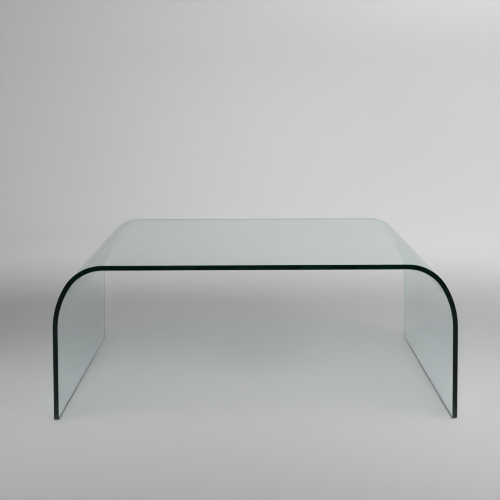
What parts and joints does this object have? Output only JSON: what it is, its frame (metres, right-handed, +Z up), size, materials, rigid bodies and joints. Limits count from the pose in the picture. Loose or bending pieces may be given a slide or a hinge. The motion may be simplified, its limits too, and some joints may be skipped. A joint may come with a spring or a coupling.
{
  "type": "waterfall coffee table",
  "caption": "Low coffee table bent from clear thick glass: the flat top curves down at both ends into side legs that stand on small clear glides.",
  "frame": {"origin": "centre of the footprint, on the floor", "axes": "+X along the top from leg to leg, +Y from the front edge to the rear edge, +Z up"},
  "size_m": [0.98, 0.65, 0.385],
  "materials": {
    "clear_glass": "clear float glass with a green cast, flat polished edges with small arrises",
    "glide_polymer": "clear soft moulded polymer, slightly hazy"
  },
  "bodies": {
    "root": {"glass_sheet": "clear_glass", "glide_front_left": "glide_polymer", "glide_front_right": "glide_polymer", "glide_rear_left": "glide_polymer", "glide_rear_right": "glide_polymer"}
  },
  "joints": []
}
